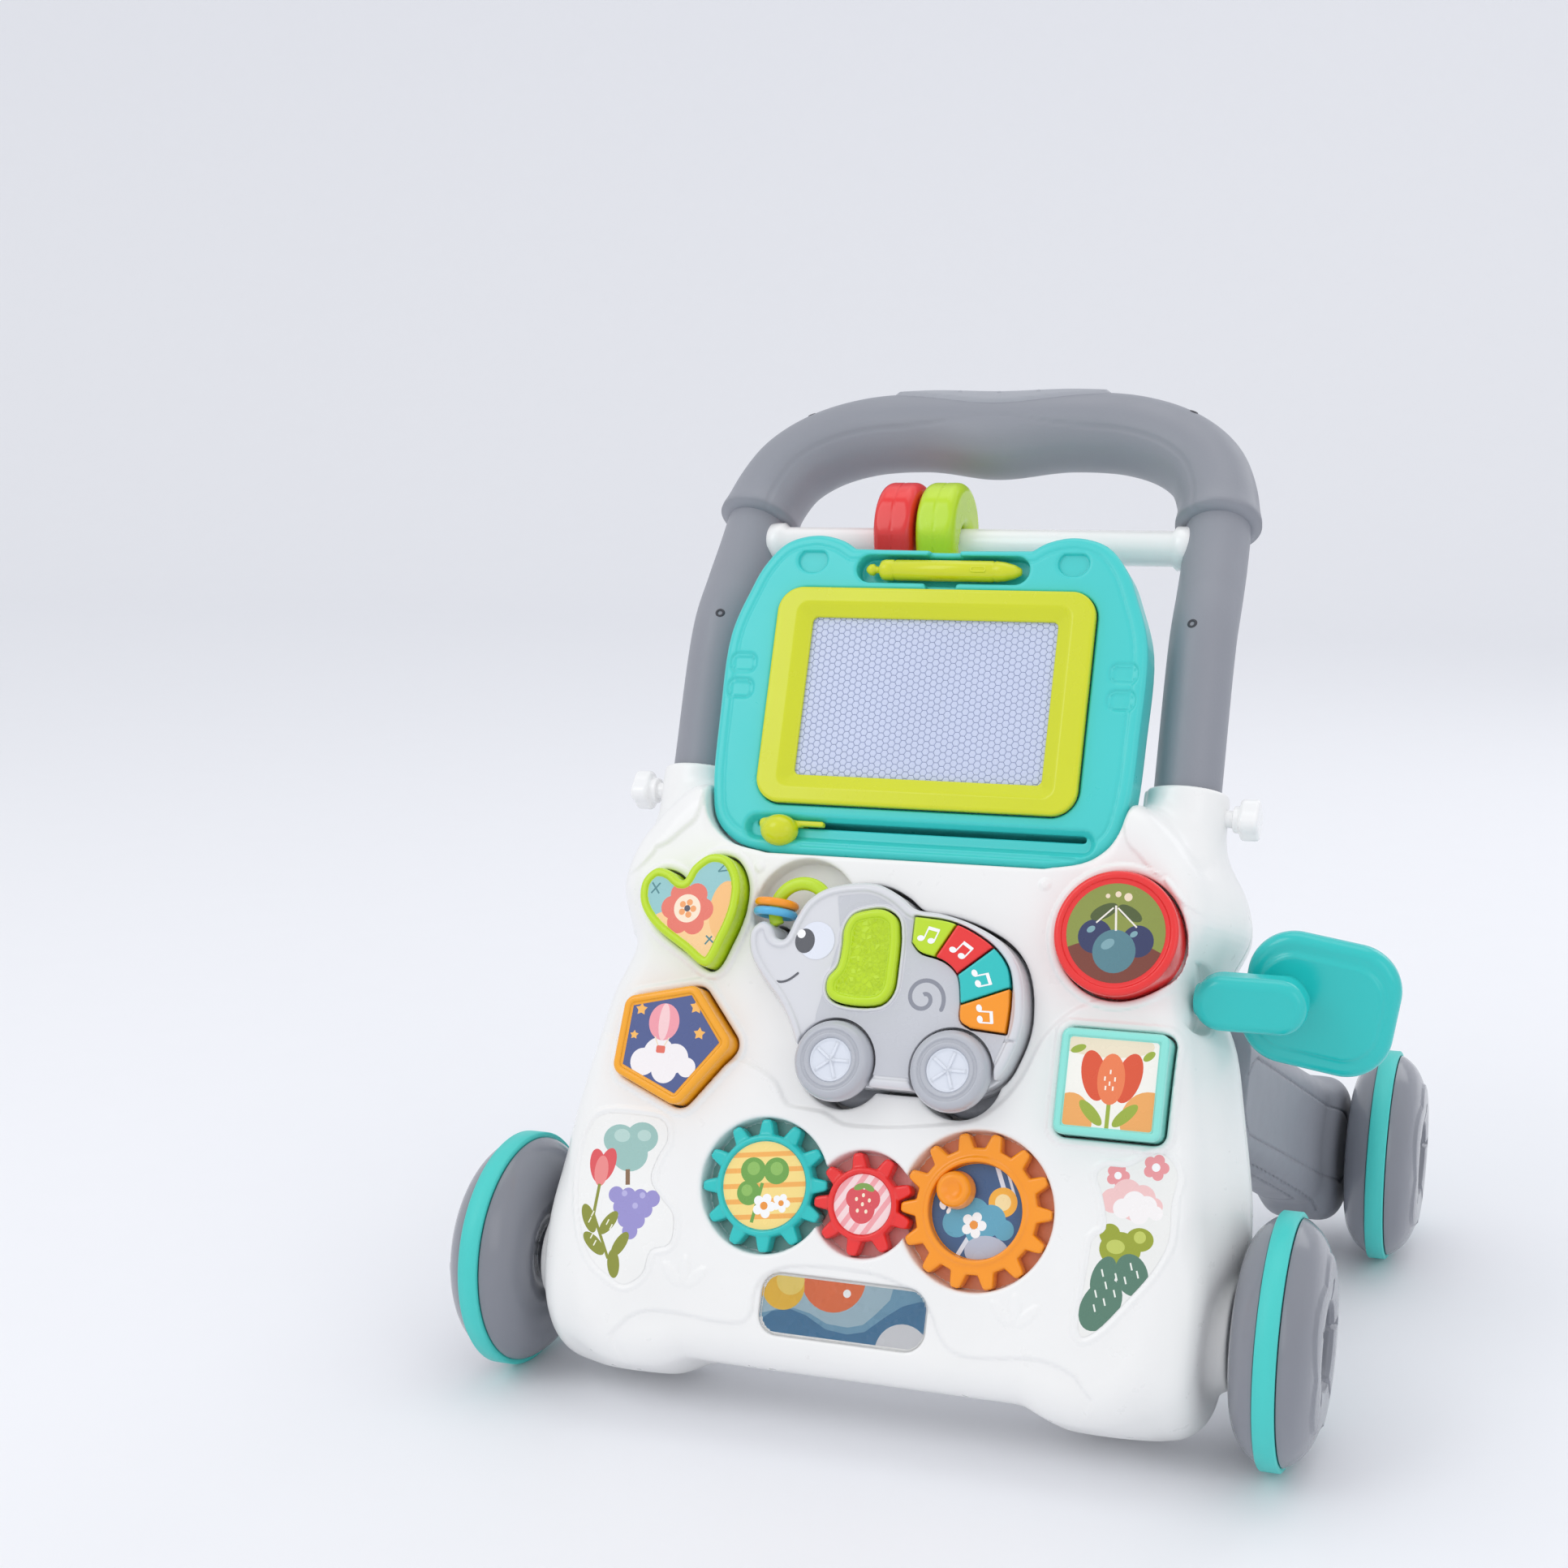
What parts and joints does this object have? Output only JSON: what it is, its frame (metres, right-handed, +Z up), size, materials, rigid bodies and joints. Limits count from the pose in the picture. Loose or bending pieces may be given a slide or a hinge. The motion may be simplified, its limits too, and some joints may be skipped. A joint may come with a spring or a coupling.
{
  "type": "baby walker",
  "caption": "Push-along baby walker: leaning activity body on four wheels with U handle, lift-off drawing board, shape blocks, gear train, side mirror and a removable wheeled toy.",
  "frame": {"origin": "on the floor, midway between the wheel tracks and midway between the two axles, at the centre of the object's box", "axes": "+X to the walker's right as seen from its toy side, -Y towards the toy side, +Z up"},
  "size_m": [0.441, 0.36, 0.4563],
  "materials": {
    "shell_white": "smooth moulded, satin gloss",
    "toy_grey": "smooth moulded, satin gloss",
    "frame_grey": "smooth moulded, satin gloss",
    "grip_pad_grey": "soft-touch, matt",
    "teal_plastic": "smooth moulded gloss",
    "lime_plastic": "smooth moulded gloss",
    "red_plastic": "smooth moulded gloss",
    "orange_plastic": "smooth moulded gloss",
    "amber_plastic": "smooth moulded gloss",
    "mint_plastic": "smooth moulded gloss",
    "blue_plastic": "smooth moulded gloss",
    "drawing_film": "honeycomb cells under a matt film",
    "clear_plastic": "clear, polished",
    "circuit_laminate": "solder-masked laminate",
    "mirror_acrylic": "mirrored acrylic",
    "axle_steel": "drawn and plated",
    "tyre_teal": "soft moulded band"
  },
  "bodies": {
    "body": {"front_shell": "shell_white", "rear_shell": "shell_white", "picture_window": "clear_plastic", "tube_right": "frame_grey", "tube_left": "frame_grey", "grip": "frame_grey", "grip_pad": "grip_pad_grey", "crossbar": "shell_white", "rear_leg_right": "frame_grey", "rear_leg_left": "frame_grey", "front_axle": "axle_steel", "rear_axle_right": "axle_steel", "rear_axle_left": "axle_steel"},
    "front_right_wheel": {"wheel_front_right": "frame_grey", "tyre_front_right": "tyre_teal"},
    "front_left_wheel": {"wheel_front_left": "frame_grey", "tyre_front_left": "tyre_teal"},
    "rear_right_wheel": {"wheel_rear_right": "frame_grey", "tyre_rear_right": "tyre_teal"},
    "rear_left_wheel": {"wheel_rear_left": "frame_grey", "tyre_rear_left": "tyre_teal"},
    "orange_gear": {"gear_orange": "orange_plastic", "finger_bead": "orange_plastic"},
    "red_gear": {"gear_red": "red_plastic"},
    "teal_gear": {"gear_teal": "teal_plastic"},
    "heart_block": {"heart_block": "lime_plastic"},
    "pentagon_block": {"pentagon_block": "amber_plastic"},
    "round_block": {"round_block": "red_plastic"},
    "square_block": {"square_block": "mint_plastic"},
    "toy": {"toy_front_shell": "toy_grey", "toy_back_shell": "toy_grey", "toy_battery_cover": "toy_grey", "toy_circuit_board": "circuit_laminate", "toy_hoop": "lime_plastic"},
    "ear_button": {"toy_ear_button": "lime_plastic"},
    "key_1": {"toy_key_1": "lime_plastic"},
    "key_2": {"toy_key_2": "red_plastic"},
    "key_3": {"toy_key_3": "teal_plastic"},
    "key_4": {"toy_key_4": "orange_plastic"},
    "toy_rings": {"toy_ring_orange": "orange_plastic", "toy_ring_blue": "blue_plastic"},
    "toy_front_wheels": {"toy_axle_front": "axle_steel", "toy_wheel_front_near": "toy_grey", "toy_wheel_front_far": "toy_grey"},
    "toy_rear_wheels": {"toy_axle_rear": "axle_steel", "toy_wheel_rear_near": "toy_grey", "toy_wheel_rear_far": "toy_grey"},
    "drawing_board": {"board_frame": "teal_plastic", "board_back": "teal_plastic", "board_bezel": "lime_plastic", "board_screen": "drawing_film", "hook_red": "red_plastic", "hook_lime": "lime_plastic"},
    "pen": {"pen": "lime_plastic"},
    "eraser": {"eraser_slider": "lime_plastic"},
    "lock_right": {"lock_knob_right": "shell_white"},
    "lock_left": {"lock_knob_left": "shell_white"},
    "mirror": {"mirror_arm": "teal_plastic", "mirror_plate": "teal_plastic", "mirror_lens": "mirror_acrylic"}
  },
  "joints": [
    {"name": "front_right_wheel_spin", "type": "hinge", "parent": "body", "child": "front_right_wheel", "pos_m": [0.1837, -0.124, 0.056], "axis": [1, 0, 0], "continuous": true},
    {"name": "front_left_wheel_spin", "type": "hinge", "parent": "body", "child": "front_left_wheel", "pos_m": [-0.1837, -0.124, 0.056], "axis": [1, 0, 0], "continuous": true},
    {"name": "rear_right_wheel_spin", "type": "hinge", "parent": "body", "child": "rear_right_wheel", "pos_m": [0.201, 0.124, 0.056], "axis": [1, 0, 0], "continuous": true},
    {"name": "rear_left_wheel_spin", "type": "hinge", "parent": "body", "child": "rear_left_wheel", "pos_m": [-0.201, 0.124, 0.056], "axis": [1, 0, 0], "continuous": true},
    {"name": "orange_gear_spin", "type": "hinge", "parent": "body", "child": "orange_gear", "pos_m": [0.05269, -0.14686, 0.1096], "axis": [0, -0.9184, 0.3955], "continuous": true},
    {"name": "red_gear_spin", "type": "hinge", "parent": "body", "child": "red_gear", "pos_m": [0.001, -0.14784, 0.10732], "axis": [0, -0.9184, 0.3955], "continuous": true},
    {"name": "teal_gear_spin", "type": "hinge", "parent": "body", "child": "teal_gear", "pos_m": [-0.04612, -0.14645, 0.11054], "axis": [0, -0.9184, 0.3955], "continuous": true},
    {"name": "heart_block_lift", "type": "slide", "parent": "body", "child": "heart_block", "axis": [0, -0.9184, 0.3955], "range_m": [0, 0.03]},
    {"name": "pentagon_block_lift", "type": "slide", "parent": "body", "child": "pentagon_block", "axis": [0, -0.9184, 0.3955], "range_m": [0, 0.03]},
    {"name": "round_block_lift", "type": "slide", "parent": "body", "child": "round_block", "axis": [0, -0.9184, 0.3955], "range_m": [0, 0.03]},
    {"name": "square_block_lift", "type": "slide", "parent": "body", "child": "square_block", "axis": [0, -0.9184, 0.3955], "range_m": [0, 0.03]},
    {"name": "toy_lift", "type": "slide", "parent": "body", "child": "toy", "axis": [0, -0.9184, 0.3955], "range_m": [0, 0.06]},
    {"name": "ear_button_press", "type": "slide", "parent": "toy", "child": "ear_button", "axis": [0, 0.9184, -0.3955], "range_m": [0, 0.0025], "stiffness_N_per_m": 250, "springref_m": -0.002},
    {"name": "key_1_press", "type": "slide", "parent": "toy", "child": "key_1", "axis": [0, 0.9184, -0.3955], "range_m": [0, 0.0025], "stiffness_N_per_m": 250, "springref_m": -0.002},
    {"name": "key_2_press", "type": "slide", "parent": "toy", "child": "key_2", "axis": [0, 0.9184, -0.3955], "range_m": [0, 0.0025], "stiffness_N_per_m": 250, "springref_m": -0.002},
    {"name": "key_3_press", "type": "slide", "parent": "toy", "child": "key_3", "axis": [0, 0.9184, -0.3955], "range_m": [0, 0.0025], "stiffness_N_per_m": 250, "springref_m": -0.002},
    {"name": "key_4_press", "type": "slide", "parent": "toy", "child": "key_4", "axis": [0, 0.9184, -0.3955], "range_m": [0, 0.0025], "stiffness_N_per_m": 250, "springref_m": -0.002},
    {"name": "toy_rings_travel", "type": "hinge", "parent": "toy", "child": "toy_rings", "pos_m": [-0.043, -0.10364, 0.22765], "axis": [0, -0.9184, 0.3955], "range_deg": [-70, 0]},
    {"name": "toy_front_wheels_spin", "type": "hinge", "parent": "toy", "child": "toy_front_wheels", "pos_m": [-0.016, -0.1283, 0.16532], "axis": [0, -0.9184, 0.3955], "continuous": true},
    {"name": "toy_rear_wheels_spin", "type": "hinge", "parent": "toy", "child": "toy_rear_wheels", "pos_m": [0.038, -0.1283, 0.16532], "axis": [0, -0.9184, 0.3955], "continuous": true},
    {"name": "board_lift", "type": "slide", "parent": "body", "child": "drawing_board", "axis": [0, 0, 1], "range_m": [0, 0.05]},
    {"name": "pen_lift", "type": "slide", "parent": "drawing_board", "child": "pen", "axis": [0, -0.9184, 0.3955], "range_m": [0, 0.03]},
    {"name": "eraser_travel", "type": "slide", "parent": "drawing_board", "child": "eraser", "axis": [1, 0, 0], "range_m": [0, 0.126]},
    {"name": "lock_right_turn", "type": "hinge", "parent": "body", "child": "lock_right", "pos_m": [0.145, -0.03962, 0.26758], "axis": [1, 0, 0], "range_deg": [0, 90]},
    {"name": "lock_left_turn", "type": "hinge", "parent": "body", "child": "lock_left", "pos_m": [-0.145, -0.03962, 0.26758], "axis": [1, 0, 0], "range_deg": [0, 90]},
    {"name": "mirror_tilt", "type": "hinge", "parent": "body", "child": "mirror", "pos_m": [0.145, -0.091, 0.197], "axis": [1, 0, 0], "range_deg": [-20, 45]}
  ],
  "couplings": [
    {"joint": "red_gear_spin", "follows": "orange_gear_spin", "ratio": -1.5556},
    {"joint": "teal_gear_spin", "follows": "orange_gear_spin", "ratio": 1.1667}
  ]
}
